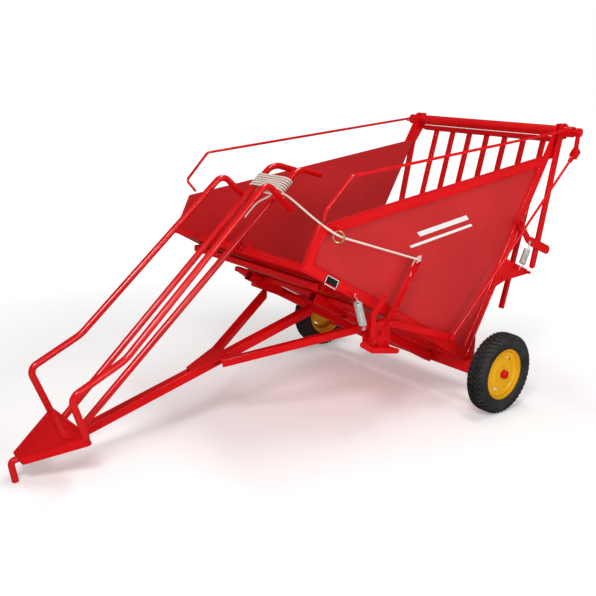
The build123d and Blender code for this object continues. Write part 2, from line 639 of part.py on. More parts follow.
# ---------------------------------------------------------------- small fittings and the rope
RING_CENTRE = Vector(1622, 846, 1556)
RING_RADIUS = 38.0
RING_WIRE = 6.0
RING_NORMAL = Vector(0.78, 0.62, 0.1)
HANK_ALONG = 1540.0           # X of the hank's middle on the inner guides
ROPE_ROUTE = (
    (1572, 186, 1773),
    (1760, 791, 1658),
    (1622, 850, 1560),
    (818, 853, 1312),
)


def data_plate():
    """A small plate with nothing on it, riveted to the left border."""
    plate = rounded(Rectangle(132, 74), 8)
    return side_plate(Pos(1612, 1232) * Rot(0, 0, SLOPE) * plate, PANEL_OUT, PANEL_OUT + 2)


def rope_ring():
    ring_plane = Plane(origin=RING_CENTRE, z_dir=RING_NORMAL)
    return ring_plane.location * Torus(RING_RADIUS, RING_WIRE)


def ring_staple():
    """The eye bolt that the brass ring hangs from; the ring's wire passes through its eye."""
    across = RING_NORMAL.cross(Vector(0, 0, 1)).normalized()
    up = across.cross(RING_NORMAL).normalized()
    top = RING_CENTRE + up * (RING_RADIUS + 2)
    eye = Plane(origin=top, z_dir=across).location * Torus(14, 4.5)
    shank = pin_y(top.X, top.Z + 14, 6, PANEL_OUT, top.Y + 5)
    return shank + eye


def rope_hank():
    """Rope wound side by side round the two inner guides."""
    (x0, y0, z0), (x1, y1, z1) = INNER_GUIDE[0], INNER_GUIDE[1]
    share = (HANK_ALONG - x0) / (x1 - x0)
    run = Vector(x1 - x0, 0, z1 - z0).normalized()
    centre = Vector(HANK_ALONG, 0, z0 + share * (z1 - z0))
    reach = y0 + share * (y1 - y0)
    width = HANK_TURNS * 2 * ROPE_RADIUS
    inner = SlotOverall(2 * (reach + GUIDE_RADIUS + 2.2), 2 * (GUIDE_RADIUS + 1.6))
    outer = offset(inner, 2 * ROPE_RADIUS)
    plane = Plane(origin=centre - run * (width / 2), x_dir=(0, 1, 0), z_dir=run)
    return extrude(plane * (outer - inner), width)


def trip_rope():
    """The rope from the hank, through the ring, to the trip lever's eye."""
    points = [Vector(*p) for p in ROPE_ROUTE]
    radii = []
    for before, corner, after in zip(points, points[1:], points[2:]):
        turn = (corner - before).get_angle(after - corner)
        run = min((corner - before).length, (after - corner).length)
        radii.append(0.45 * run / math.tan(math.radians(turn / 2)))
    print("rope radii", [round(r) for r in radii])
    path = FilletPolyline(*points, radius=radii)
    rope = sweep(Plane(origin=path @ 0, z_dir=path % 0) * Circle(ROPE_RADIUS), path=path)
    print("rope length", round(path.length), "volume share", rope.volume / (path.length * math.pi * ROPE_RADIUS**2))
    return rope


def plate_bolts():
    """The hexagon bolts of the front end plate."""
    group = []
    for x, z in ((1050, 700), (1140, 700), (1200, 803)):
        group.append(Pos(x, 798, z) * Rot(-90, 0, 0) * hex_bolt(14))
    return Compound(group)


export("data_plate", data_plate())
export("rope_ring", rope_ring())
export("ring_staple", ring_staple())
export("rope_hank", rope_hank())
export("trip_rope", trip_rope())
export("plate_bolts", plate_bolts())

# ---------------------------------------------------------------- wheels
HUB_IN = HALF_TRACK - 61.5
DISC_Y = HALF_TRACK + 34.0


def tyre():
    """A ribbed road tyre as one ring: flat tread, round shoulders and bellied walls."""
    w = TYRE_WIDTH / 2
    profile = outline(
        (-w + 26, RIM_RADIUS - 11.5), (-w + 26, RIM_RADIUS + 4), (-w + 6, RIM_RADIUS + 30),
        (-w, RIM_RADIUS + 62), (-w + 8, WHEEL_RADIUS - 22),
        (-w + 24, WHEEL_RADIUS - 4), (-w + 42, WHEEL_RADIUS), (w - 42, WHEEL_RADIUS), (w - 24, WHEEL_RADIUS - 4),
        (w - 8, WHEEL_RADIUS - 22), (w, RIM_RADIUS + 62), (w - 6, RIM_RADIUS + 30), (w - 26, RIM_RADIUS + 4),
        (w - 26, RIM_RADIUS - 11.5), (w - 36, RIM_RADIUS - 11.5), (w - 16, RIM_RADIUS + 60),
        (w - 34, WHEEL_RADIUS - 34), (-w + 34, WHEEL_RADIUS - 34), (-w + 16, RIM_RADIUS + 60),
        (-w + 36, RIM_RADIUS - 11.5))
    ring = revolve(Plane.YZ * profile, Axis.Y, 360)
    return Pos(0, HALF_TRACK, WHEEL_RADIUS) * ring


def rim():
    """The steel rim and its dished disc, with two slots and a bore for the hub."""
    w = TYRE_WIDTH / 2
    r = RIM_RADIUS - 12
    barrel = outline((-w + 20, r + 14), (-w + 25.5, r + 14), (-w + 25.5, r), (w - 25.5, r), (w - 25.5, r + 14),
                     (w - 20, r + 14), (w - 20, r + 4), (w - 26, r - 6), (-w + 26, r - 6), (-w + 20, r + 4))
    disc = outline((34, r - 7), (40, r - 7), (40, 150), (26, 120), (26, 46), (20, 46), (20, 122), (34, 152))
    wheel = revolve(Plane.YZ * barrel, Axis.Y, 360) + revolve(Plane.YZ * disc, Axis.Y, 360)
    wheel += Pos(0, 37, 0) * Rot(90, 0, 0) * (Cylinder(r - 5.5, 5) - Cylinder(r - 9, 5))
    for turn in (150, 330):
        wheel -= Pos(0, 30, 0) * Rot(0, turn, 0) * Pos(0, 0, 137) * Box(50, 60, 11)
    return Pos(0, HALF_TRACK, WHEEL_RADIUS) * wheel


def hub():
    """The hub that turns on the stub axle, with its flange and the cap."""
    body = pin_y(0, WHEEL_RADIUS, 45.5, HUB_IN, HALF_TRACK + 54)
    body += pin_y(0, WHEEL_RADIUS, 62, HALF_TRACK + 8, HALF_TRACK + 19.5)
    body += pin_y(0, WHEEL_RADIUS, 32, HALF_TRACK + 53, HALF_TRACK + 78)
    return body - pin_y(0, WHEEL_RADIUS, AXLE_RADIUS + BORE_CLEARANCE, HUB_IN - 10, HALF_TRACK + 53)


for side in SIDES:
    export(f"tyre_{side}", mirrored(tyre(), side))
    export(f"rim_{side}", mirrored(rim(), side))
    export(f"hub_{side}", mirrored(hub(), side))

everything = Compound(list(parts.values())).bounding_box()
print("nodes", len(parts), "X", everything.min.X + AXLE_X, everything.max.X + AXLE_X)
print("Y", everything.min.Y, everything.max.Y, "Z", everything.min.Z, everything.max.Z)
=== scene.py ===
import json
import math
import random

import bmesh
import bpy
from mathutils import Matrix, Vector


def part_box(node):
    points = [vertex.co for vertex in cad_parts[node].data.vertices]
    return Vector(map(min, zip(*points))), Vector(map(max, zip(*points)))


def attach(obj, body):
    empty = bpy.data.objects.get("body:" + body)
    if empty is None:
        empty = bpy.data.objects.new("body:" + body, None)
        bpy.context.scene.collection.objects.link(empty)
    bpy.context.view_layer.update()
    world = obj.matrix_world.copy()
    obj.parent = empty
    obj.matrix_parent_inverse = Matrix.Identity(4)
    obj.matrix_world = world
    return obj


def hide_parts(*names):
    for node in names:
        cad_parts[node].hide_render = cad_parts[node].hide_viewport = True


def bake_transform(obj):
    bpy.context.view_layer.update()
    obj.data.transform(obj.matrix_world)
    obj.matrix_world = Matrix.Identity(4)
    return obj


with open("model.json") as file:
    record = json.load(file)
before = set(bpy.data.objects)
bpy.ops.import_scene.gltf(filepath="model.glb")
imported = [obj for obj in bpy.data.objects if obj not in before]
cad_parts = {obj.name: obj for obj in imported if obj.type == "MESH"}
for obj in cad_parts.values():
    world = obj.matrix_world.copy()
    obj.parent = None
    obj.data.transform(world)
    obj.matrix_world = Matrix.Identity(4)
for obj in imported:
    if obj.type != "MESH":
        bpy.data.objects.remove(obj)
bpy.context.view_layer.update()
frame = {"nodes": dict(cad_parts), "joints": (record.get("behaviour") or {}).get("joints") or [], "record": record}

random.seed(7)
nodes = frame["nodes"]
joints = {joint["name"]: joint for joint in frame["joints"]}


# ---------------------------------------------------------------- places read from the frame
def centre(node):
    low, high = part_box(node)
    return (low + high) / 2


AXLE = centre("axle_beam")
AXLE.z = joints["wheel_left_spin"]["pos_m"][2]
GATE_PIVOT = Vector(joints["gate_swing"]["pos_m"])
TRIP_PIVOT = Vector(joints["trip_crank_turn"]["pos_m"])
ROD_PIVOT = Vector(joints["push_rod_turn"]["pos_m"])
LATCH_PIVOT = Vector(joints["latch_lever_turn"]["pos_m"])
LOCK_PIVOT = Vector(joints["lock_lever_turn"]["pos_m"])
PANEL_FACE = 0.785            # outer face of the side panels' borders
SHEET_FACE = 0.769            # outer face of the sheet inside them


def at(x, y, z):
    """A point given forward of the wheel axle, as the drawings give it."""
    return Vector((AXLE.x + x, y, z))


# ---------------------------------------------------------------- materials
def new_material(name):
    material = bpy.data.materials.new(name)
    material.use_nodes = True
    tree = material.node_tree
    return material, tree, tree.nodes["Principled BSDF"]


def noise(tree, scale, detail=4.0, roughness=0.55, stretch=None):
    """A noise texture in the object's own coordinates, stretched if asked."""
    place = tree.nodes.new("ShaderNodeTexCoord")
    texture = tree.nodes.new("ShaderNodeTexNoise")
    texture.inputs["Scale"].default_value = scale
    texture.inputs["Detail"].default_value = detail
    texture.inputs["Roughness"].default_value = roughness
    source = place.outputs["Object"]
    if stretch:
        mapping = tree.nodes.new("ShaderNodeMapping")
        mapping.inputs["Scale"].default_value = stretch
        tree.links.new(source, mapping.inputs["Vector"])
        source = mapping.outputs["Vector"]
    tree.links.new(source, texture.inputs["Vector"])
    return texture


def ramp(tree, source, stops):
    """A colour ramp through the given (position, colour) stops."""
    node = tree.nodes.new("ShaderNodeValToRGB")
    elements = node.color_ramp.elements
    while len(elements) < len(stops):
        elements.new(0.5)
    for element, (position, colour) in zip(elements, stops):
        element.position = position
        element.color = (*colour, 1.0)
    tree.links.new(source, node.inputs["Fac"])
    return node


def grey(value):
    return (value, value, value)


def bump(tree, height, strength, distance, before=None):
    node = tree.nodes.new("ShaderNodeBump")
    node.inputs["Strength"].default_value = strength
    node.inputs["Distance"].default_value = distance
    tree.links.new(height, node.inputs["Height"])
    if before:
        tree.links.new(before, node.inputs["Normal"])
    return node.outputs["Normal"]


def round_edges(tree, radius):
    node = tree.nodes.new("ShaderNodeBevel")
    node.samples = 4
    node.inputs["Radius"].default_value = radius
    return node.outputs["Normal"]


def enamel(name, light, dark, radius=0.004, coat=0.35, coat_roughness=0.05, coat_ior=1.5):
    """Sprayed gloss enamel: slow colour drift, a fine orange peel, faint dust and soft edges."""
    material, tree, shader = new_material(name)
    drift = noise(tree, 2.2, 3.0)
    colour = ramp(tree, drift.outputs["Fac"], [(0.32, dark), (0.68, light)])
    dust = noise(tree, 38.0, 6.0, 0.7)
    film = ramp(tree, dust.outputs["Fac"], [(0.45, grey(0.12)), (0.75, grey(0.24))])
    peel = noise(tree, 420.0, 2.0)
    normal = bump(tree, peel.outputs["Fac"], 0.035, 0.002, round_edges(tree, radius))
    tree.links.new(colour.outputs["Color"], shader.inputs["Base Color"])
    tree.links.new(film.outputs["Color"], shader.inputs["Roughness"])
    tree.links.new(normal, shader.inputs["Normal"])
    shader.inputs["Coat Weight"].default_value = coat
    shader.inputs["Coat Roughness"].default_value = coat_roughness
    shader.inputs["Coat IOR"].default_value = coat_ior
    shader.inputs["Specular IOR Level"].default_value = 0.25
    return material


def sheet_enamel_with_painted_reflection():
    """The same enamel on the side panels: satin where the sheet lies inside its glossy border, and there a paler
    red that is a painted reflection of the white surroundings.
    """
    material, tree, shader = new_material("red_sheet_enamel_painted_reflection")
    place = tree.nodes.new("ShaderNodeTexCoord")
    parts = tree.nodes.new("ShaderNodeSeparateXYZ")
    tree.links.new(place.outputs["Object"], parts.inputs["Vector"])
    out = tree.nodes.new("ShaderNodeMath")
    out.operation = "ABSOLUTE"
    tree.links.new(parts.outputs["Y"], out.inputs[0])
    # mask: 0 on the sheet, which takes the painted reflection colour, 1 on the raised border
    level = tree.nodes.new("ShaderNodeMapRange")
    level.inputs["From Min"].default_value = SHEET_FACE + 0.001
    level.inputs["From Max"].default_value = SHEET_FACE + 0.005
    tree.links.new(out.outputs["Value"], level.inputs["Value"])
    drift = noise(tree, 1.6, 4.0)
    # painted reflection: the sheet's red is paler, with more green and blue than the border's, standing in for
    # white surroundings mirrored in it
    sheet = ramp(tree, drift.outputs["Fac"], [(0.3, (0.50, 0.012, 0.014)), (0.7, (0.60, 0.018, 0.020))])
    border = ramp(tree, drift.outputs["Fac"], [(0.3, (0.62, 0.003, 0.005)), (0.7, (0.72, 0.005, 0.008))])
    colour = tree.nodes.new("ShaderNodeMix")
    colour.data_type = "RGBA"
    tree.links.new(level.outputs["Result"], colour.inputs["Factor"])
    tree.links.new(sheet.outputs["Color"], colour.inputs["A"])
    tree.links.new(border.outputs["Color"], colour.inputs["B"])
    tree.links.new(colour.outputs["Result"], shader.inputs["Base Color"])
    rough = ramp(tree, level.outputs["Result"], [(0.0, grey(0.46)), (1.0, grey(0.20))])
    tree.links.new(rough.outputs["Color"], shader.inputs["Roughness"])
    peel = noise(tree, 300.0, 3.0)
    normal = bump(tree, peel.outputs["Fac"], 0.05, 0.002, round_edges(tree, 0.006))
    tree.links.new(normal, shader.inputs["Normal"])
    shader.inputs["Coat Weight"].default_value = 0.08
    shader.inputs["Specular IOR Level"].default_value = 0.25
    return material


def rubber():
    """Tyre rubber: near black, with a dusty bloom and a fine moulded grain."""
    material, tree, shader = new_material("tyre_rubber_moulded")
    bloom = noise(tree, 9.0, 6.0, 0.65)
    colour = ramp(tree, bloom.outputs["Fac"], [(0.3, grey(0.012)), (0.75, (0.036, 0.035, 0.034))])
    grain = noise(tree, 900.0, 3.0)
    rough = ramp(tree, bloom.outputs["Fac"], [(0.2, grey(0.52)), (0.8, grey(0.72))])
    tree.links.new(colour.outputs["Color"], shader.inputs["Base Color"])
    tree.links.new(rough.outputs["Color"], shader.inputs["Roughness"])
    tree.links.new(bump(tree, grain.outputs["Fac"], 0.12, 0.001), shader.inputs["Normal"])
    return material


def bare_metal(name, light, dark, roughness, grain_scale, stretch=(1, 1, 1), metallic=1.0):
    """Plated or bare metal with a drawn grain and slight tarnish."""
    material, tree, shader = new_material(name)
    tarnish = noise(tree, 60.0, 5.0, 0.6)
    colour = ramp(tree, tarnish.outputs["Fac"], [(0.3, dark), (0.7, light)])
    grain = noise(tree, grain_scale, 3.0, 0.5, stretch)
    rough = ramp(tree, grain.outputs["Fac"], [(0.3, grey(roughness * 0.7)), (0.7, grey(roughness * 1.3))])
    tree.links.new(colour.outputs["Color"], shader.inputs["Base Color"])
    tree.links.new(rough.outputs["Color"], shader.inputs["Roughness"])
    tree.links.new(bump(tree, grain.outputs["Fac"], 0.06, 0.001), shader.inputs["Normal"])
    shader.inputs["Metallic"].default_value = metallic
    return material


def fibre():
    """Laid rope: pale fibres with darker lint between them."""
    material, tree, shader = new_material("rope_fibre_laid")
    lint = noise(tree, 260.0, 6.0, 0.7)
    colour = ramp(tree, lint.outputs["Fac"],
                  [(0.28, (0.42, 0.33, 0.25)), (0.5, (0.74, 0.66, 0.57)), (0.75, (0.90, 0.86, 0.80))])
    fluff = noise(tree, 1400.0, 4.0)
    tree.links.new(colour.outputs["Color"], shader.inputs["Base Color"])
    tree.links.new(bump(tree, fluff.outputs["Fac"], 0.35, 0.002), shader.inputs["Normal"])
    shader.inputs["Roughness"].default_value = 0.85
    shader.inputs["Sheen Weight"].default_value = 0.3
    return material


RED = enamel("red_enamel", (0.72, 0.005, 0.008), (0.60, 0.003, 0.005))
TUBE_RED = enamel("red_tube_enamel", (0.72, 0.005, 0.008), (0.60, 0.003, 0.005), 0.002, 0.8, 0.20, 1.5)
YELLOW = enamel("yellow_enamel", (0.86, 0.47, 0.012), (0.78, 0.38, 0.008), 0.002)
BLACK = enamel("black_enamel", (0.016, 0.016, 0.017), (0.010, 0.010, 0.011), 0.0008)
WHITE = enamel("white_enamel", (0.84, 0.84, 0.82), (0.78, 0.78, 0.76), 0.0008)
RUBBER = rubber()
ZINC = bare_metal("zinc_plate", (0.78, 0.80, 0.79), (0.58, 0.60, 0.58), 0.26, 300.0, (1, 6, 1), 0.45)
BRASS = bare_metal("worn_brass", (0.76, 0.55, 0.22), (0.52, 0.34, 0.11), 0.30, 400.0, (1, 1, 1), 0.7)
FIBRE = fibre()
# red enamel for the side panels, with a painted reflection paling the sheet inside the border
SHEET_RED_PAINTED_REFLECTION = sheet_enamel_with_painted_reflection()
TUBES = ("guide_", "guard_rail_", "gate_tube", "push_rod", "hitch_pin")
SLOT_MATERIAL = {
    "red_paint": RED,
    "yellow_paint": YELLOW,
    "tyre_rubber": RUBBER,
    "spring_steel": ZINC,
    "ring_brass": BRASS,
    "rope_fibre": FIBRE,
    "plate_black": BLACK,
}


def paint_cad():
    """Every CAD node gets the detailed material of its slot."""
    for entry in frame["record"]["subparts"]:
        data = nodes[entry["node"]].data
        data.materials.clear()
        material = SLOT_MATERIAL[entry["material_slot"]]
        if entry["node"].startswith("side_panel"):
            # the side panels' sheet carries a painted reflection in its paler red
            material = SHEET_RED_PAINTED_REFLECTION
        elif entry["node"].startswith(TUBES):
            material = TUBE_RED
        data.materials.append(material)


paint_cad()


# ---------------------------------------------------------------- mesh helpers
class Shape:
    """Points and faces gathered from several simple forms."""

    def __init__(self):
        self.points = []
        self.faces = []

    def add(self, points, faces):
        base = len(self.points)
        self.points += [Vector(point) for point in points]
        self.faces += [[base + k for k in face] for face in faces]

    def moved(self, matrix):
        other = Shape()
        other.add([matrix @ point for point in self.points], self.faces)
        return other

    def join(self, other):
        self.add(other.points, other.faces)

    def make(self, name, material, slot, body, sharp):
        """A mesh piece that rides on a body, if one is named; edges over sharp degrees stay crisp."""
        mesh = bpy.data.meshes.new(name)
        mesh.from_pydata([tuple(point) for point in self.points], [], self.faces)
        mesh.materials.append(material)
        work = bmesh.new()
        work.from_mesh(mesh)
        bmesh.ops.recalc_face_normals(work, faces=work.faces)
        work.to_mesh(mesh)
        work.free()
        mesh.shade_smooth()
        mesh.set_sharp_from_angle(angle=math.radians(sharp))
        made = bpy.data.objects.new(name, mesh)
        bpy.context.scene.collection.objects.link(made)
        if body:
            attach(made, body)
        return made


def grid_faces(rows, columns, close_rows=False, close_columns=False):
    faces = []
    for i in range(rows if close_rows else rows - 1):
        for j in range(columns if close_columns else columns - 1):
            a = i * columns + j
            b = i * columns + (j + 1) % columns
            c = (i + 1) % rows * columns + (j + 1) % columns
            d = (i + 1) % rows * columns + j
            faces.append((a, b, c, d))
    return faces


def lathe(profile, steps=96, closed=True):
    """A profile of (radius, along) points turned round the Y axis."""
    points = []
    for k in range(steps):
        turn = 2 * math.pi * k / steps
        points += [(r * math.cos(turn), y, r * math.sin(turn)) for r, y in profile]
    return points, grid_faces(steps, len(profile), True, closed)


def frames_along(line):
    """For each point of a line, two directions square to it that don't twist along it."""
    tangents = []
    for k in range(len(line)):
        tangents.append((line[min(k + 1, len(line) - 1)] - line[max(k - 1, 0)]).normalized())
    side = tangents[0].orthogonal().normalized()
    result = []
    for tangent in tangents:
        side = (side - tangent * side.dot(tangent)).normalized()
        result.append((side, tangent.cross(side)))
    return result


def tube(line, radius, sides=12, caps=True):
    """A round tube along a line of points."""
    points = []
    for point, (u, v) in zip(line, frames_along(line)):
        for j in range(sides):
            turn = 2 * math.pi * j / sides
            points.append(point + (u * math.cos(turn) + v * math.sin(turn)) * radius)
    faces = grid_faces(len(line), sides, False, True)
    if caps:
        faces.append(tuple(range(sides)))
        faces.append(tuple(range((len(line) - 1) * sides, len(line) * sides)))
    return points, faces


def arc(centre_point, u, v, radius, start, end, steps):
    """Points of an arc in the plane of two unit directions, with angles in degrees."""
    result = []
    for k in range(steps + 1):
        turn = math.radians(start + (end - start) * k / steps)
        result.append(centre_point + (u * math.cos(turn) + v * math.sin(turn)) * radius)
    return result


def round_profile(radius, thickness, chamfer):
    """Half section of a plain disc or collar with broken edges, for lathe()."""
    half = thickness / 2
    return [(0.0005, -half), (radius - chamfer, -half), (radius, -half + chamfer), (radius, half - chamfer),
            (radius - chamfer, half), (0.0005, half)]


def collar(place, radius, thickness, chamfer=0.0015, steps=32):
    """A disc lying across Y at a place."""
    shape = Shape()
    points, faces = lathe(round_profile(radius, thickness, chamfer), steps, False)
    shape.add([Vector(point) + place for point in points], faces)
    return shape


def hex_head(place, size, height, facing=1, turn=0.2):
    """A hexagon head with a washer under it, standing outwards along Y from a face."""
    shape = collar(place + Vector((0, facing * 0.001, 0)), size * 1.05, 0.002, 0.0004)
    rings = [(size * 0.93, 0.002), (size * 0.93, height - size * 0.12), (size * 0.80, height)]
    points = []
    for radius, y in rings:
        for k in range(6):
            angle = turn + math.pi / 3 * k
            points.append(place + Vector((radius * math.cos(angle), facing * y, radius * math.sin(angle))))
    faces = grid_faces(3, 6, False, True)
    faces.append(tuple(range(12, 18)))
    shape.add(points, faces)
    return shape


# ---------------------------------------------------------------- wheels
RIM_RADIUS = 0.206
TYRE_RADIUS = 0.330
HALF_WIDTH = 0.078
LUGS = 46
LUG_DEPTH = 0.012
LUG_HALF = 0.0115             # half the width of a lug
LUG_SLANT = 0.62              # share of a station's slant that a lug takes


def wheel_place(sign):
    """The move from the origin to the middle of a wheel; sign is 1 on the left and -1 on the right."""
    return Matrix.Translation((AXLE.x, sign * centre("tyre_left").y, AXLE.z))


def tyre_profile():
    """The tyre's section as (radius, along): bead, bulged wall with a rib, shoulder and crown."""
    side = [(RIM_RADIUS - 0.004, 0.050), (RIM_RADIUS + 0.006, 0.053), (RIM_RADIUS + 0.018, 0.064),
            (RIM_RADIUS + 0.022, 0.0685), (RIM_RADIUS + 0.027, 0.0690), (RIM_RADIUS + 0.030, 0.0715),
            (RIM_RADIUS + 0.048, HALF_WIDTH - 0.001), (RIM_RADIUS + 0.062, HALF_WIDTH),
            (RIM_RADIUS + 0.078, HALF_WIDTH - 0.0015), (RIM_RADIUS + 0.084, HALF_WIDTH - 0.001),
            (RIM_RADIUS + 0.088, HALF_WIDTH - 0.004), (RIM_RADIUS + 0.103, HALF_WIDTH - 0.011),
            (TYRE_RADIUS - 0.0165, HALF_WIDTH - 0.024), (TYRE_RADIUS - 0.0125, HALF_WIDTH - 0.036),
            (TYRE_RADIUS - LUG_DEPTH, 0.020), (TYRE_RADIUS - LUG_DEPTH, 0.0)]
    return side + [(r, -y) for r, y in reversed(side[:-1])]


def lug(side):
    """One tread bar from the middle of the crown round the shoulder, for one side of the tyre."""
    stations = [(0.004, 0.0, 0.0), (0.022, 8.0, 0.0), (0.040, 3.5, -0.0005), (0.056, 9.0, -0.004),
                (0.067, 10.5, -0.014), (0.0735, 11.0, -0.026)]
    points = []
    for y, slant, drop in stations:
        top = TYRE_RADIUS + drop
        for depth, narrow in ((-LUG_DEPTH - 0.003, 1.12), (0.0, 0.94)):
            for way in (-1, 1):
                turn = math.radians(slant) * LUG_SLANT + way * LUG_HALF * narrow / TYRE_RADIUS
                radius = top + depth
                points.append((radius * math.cos(turn), side * y, radius * math.sin(turn)))
    faces = []
    for k in range(len(stations) - 1):
        a, b = 4 * k, 4 * (k + 1)
        faces += [(a, a + 2, b + 2, b), (a + 2, a + 3, b + 3, b + 2), (a + 3, a + 1, b + 1, b + 3)]
    end = 4 * (len(stations) - 1)
    faces += [(0, 1, 3, 2), (end, end + 2, end + 3, end + 1)]
    return points, faces


def make_tyre(side, sign):
    shape = Shape()
    points, faces = lathe(tyre_profile(), 144, False)
    shape.add(points, faces)
    for k in range(LUGS):
        for half in (-1, 1):
            points, faces = lug(half)
            shift = 0.5 if half > 0 else 0.0
            turn = Matrix.Rotation(2 * math.pi * (k + shift) / LUGS, 4, "Y")
            shape.add([turn @ Vector(point) for point in points], faces)
    made = shape.moved(wheel_place(sign)).make(f"tyre_tread_{side}", RUBBER, "tyre_rubber",
                                               f"wheel_{side}", 28.0)
    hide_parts(f"tyre_{side}")


def make_rim(side, sign):
    """The rim: rolled flanges, a well, and a dished disc with two short slots."""
    shape = Shape()
    outer = [(0.206, 0.0575), (0.209, 0.0565), (0.2095, 0.054), (0.2075, 0.052), (0.2045, 0.052),
             (0.1995, 0.0515), (0.196, 0.048), (0.1945, 0.042), (0.1935, 0.034), (0.1925, 0.030)]
    well = [(0.178, 0.016), (0.178, -0.020), (0.1935, -0.034), (0.196, -0.048), (0.2045, -0.052),
            (0.2095, -0.054), (0.209, -0.0565), (0.206, -0.0575)]
    back = [(r - 0.004, y) for r, y in reversed(well)]
    front = [(r - 0.0045, y - 0.0012) for r, y in reversed(outer[1:])]
    points, faces = lathe(outer + well + back + front, 96, True)
    shape.add([(x, sign * y, z) for x, y, z in points], faces)
    disc = [(0.1915, 0.031), (0.187, 0.0335), (0.180, 0.0415), (0.172, 0.0435), (0.163, 0.0425),
            (0.157, 0.0385), (0.152, 0.0345), (0.146, 0.0325), (0.1425, 0.0325), (0.1315, 0.0325),
            (0.128, 0.0325), (0.122, 0.0345), (0.112, 0.0385), (0.098, 0.0405), (0.085, 0.0405),
            (0.079, 0.0385), (0.072, 0.0375), (0.052, 0.0375), (0.046, 0.0395), (0.034, 0.0405)]
    steps, thickness = 96, 0.004
    cut = 8                       # the slots lie between this point of the disc's profile and the next
    slot_start, slot_steps = 29, 6

    def in_slot(k):
        return (k - slot_start) % (steps // 2) < slot_steps

    for offset in (0.0, -thickness):
        points = []
        for k in range(steps):
            turn = 2 * math.pi * k / steps
            points += [(r * math.cos(turn), sign * (y + offset), r * math.sin(turn)) for r, y in disc]
        faces = []
        for k in range(steps):
            for j in range(len(disc) - 1):
                if j == cut and in_slot(k):
                    continue
                a, b = k * len(disc), (k + 1) % steps * len(disc)
                faces.append((a + j, a + j + 1, b + j + 1, b + j))
        shape.add(points, faces)
    for k in range(steps):
        inside, before = in_slot(k), in_slot(k - 1)
        turns = [2 * math.pi * k / steps, 2 * math.pi * (k + 1) / steps]
        for j in ((cut, cut + 1) if inside else ()):
            r, y = disc[j]
            wall = [(r * math.cos(t), sign * (y + d), r * math.sin(t))
                    for t in turns for d in (0, -thickness)]
            shape.add(wall, [(0, 1, 3, 2)])
        if inside != before:
            wall = [(r * math.cos(turns[0]), sign * (y + d), r * math.sin(turns[0]))
                    for r, y in (disc[cut], disc[cut + 1]) for d in (0, -thickness)]
            shape.add(wall, [(0, 1, 3, 2)])
    made = shape.moved(wheel_place(sign)).make(f"rim_pressed_{side}", YELLOW, "yellow_paint",
                                               f"wheel_{side}", 30.0)
    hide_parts(f"rim_{side}")


def make_hub(side, sign):
    """The hub barrel behind the disc and the red knurled grease cap in front of it."""
    shape = Shape()
    profile = [(0.0225, -0.061), (0.043, -0.061), (0.0455, -0.058), (0.0455, 0.006), (0.061, 0.009),
               (0.062, 0.019), (0.044, 0.021), (0.0335, 0.026), (0.0335, 0.050), (0.036, 0.0515),
               (0.036, 0.057), (0.0315, 0.060), (0.0300, 0.073), (0.0270, 0.0775), (0.0005, 0.0780)]
    points, faces = lathe(profile, 64, False)
    shape.add([(x, sign * y, z) for x, y, z in points], faces)
    for k in range(10):
        angle = 2 * math.pi * k / 10
        ridge = Vector((0.0305 * math.cos(angle), 0.066, 0.0305 * math.sin(angle)))
        knob = collar(ridge, 0.0055, 0.014, 0.002, 12)
        shape.join(knob.moved(Matrix.Diagonal((1, sign, 1, 1))))
    made = shape.moved(wheel_place(sign)).make(f"hub_cap_{side}", RED, "red_paint", f"wheel_{side}", 30.0)
    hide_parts(f"hub_{side}")


for side, sign in (("left", 1), ("right", -1)):
    make_tyre(side, sign)
    make_rim(side, sign)
    make_hub(side, sign)


# ---------------------------------------------------------------- springs
COIL_RADIUS = 0.0255
WIRE_RADIUS = 0.0042
HOOK_RADIUS = 0.011
COIL_END = 0.008              # from an end of the spring to its first coil


def make_spring(name, node, top, foot, top_pin, foot_pin):
    """A close-wound tension spring with a hook at each end."""
    axis = (foot - top).normalized()
    u = Vector((0, 1, 0))
    v = axis.cross(u).normalized()
    length = (foot - top).length - 2 * COIL_END
    turns = round(length / (2.15 * WIRE_RADIUS))
    line = []
    for k in range(turns * 16 + 1):
        turn = 2 * math.pi * k / 16
        along = COIL_END + length * k / (turns * 16)
        line.append(top + axis * along + (u * math.cos(turn) + v * math.sin(turn)) * COIL_RADIUS)
    shape = Shape()
    shape.add(*tube(line, WIRE_RADIUS, 8))
    for end, pin, way in ((top, top_pin, -1), (foot, foot_pin, 1)):
        start = end + u * COIL_RADIUS * 0.98 - axis * way * COIL_END
        shank = [start, end + u * COIL_RADIUS * 0.55 + axis * way * 0.006, end + axis * way * 0.012]
        reach = (pin - end).dot(axis) * way
        for share in (0.35, 0.7, 1.0):
            shank.append(end + axis * way * max(0.012, reach * share))
        shape.add(*tube(shank, WIRE_RADIUS, 8))
        shape.add(*tube(arc(end + axis * way * reach, v, axis, HOOK_RADIUS, 0, 330, 14), WIRE_RADIUS, 8))
    made = shape.make(name, ZINC, "spring_steel", None, 60.0)
    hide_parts(node)
    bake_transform(made)


TRIP_SPRING_TOP = at(1.408, 0.838, 1.076)
TRIP_SPRING_FOOT = at(1.340, 0.838, 0.892)
LATCH_SPRING_TOP = at(-0.531, 0.850, 1.254)
LATCH_SPRING_FOOT = at(-0.470, 0.850, 1.122)
make_spring("trip_spring_coil", "trip_spring", TRIP_SPRING_TOP, TRIP_SPRING_FOOT,
            at(1.425, 0.838, 1.124), at(1.332, 0.838, 0.868))
make_spring("latch_spring_coil", "latch_spring", LATCH_SPRING_FOOT, LATCH_SPRING_TOP,
            at(-0.455, 0.850, 1.088), at(-0.552, 0.850, 1.300))


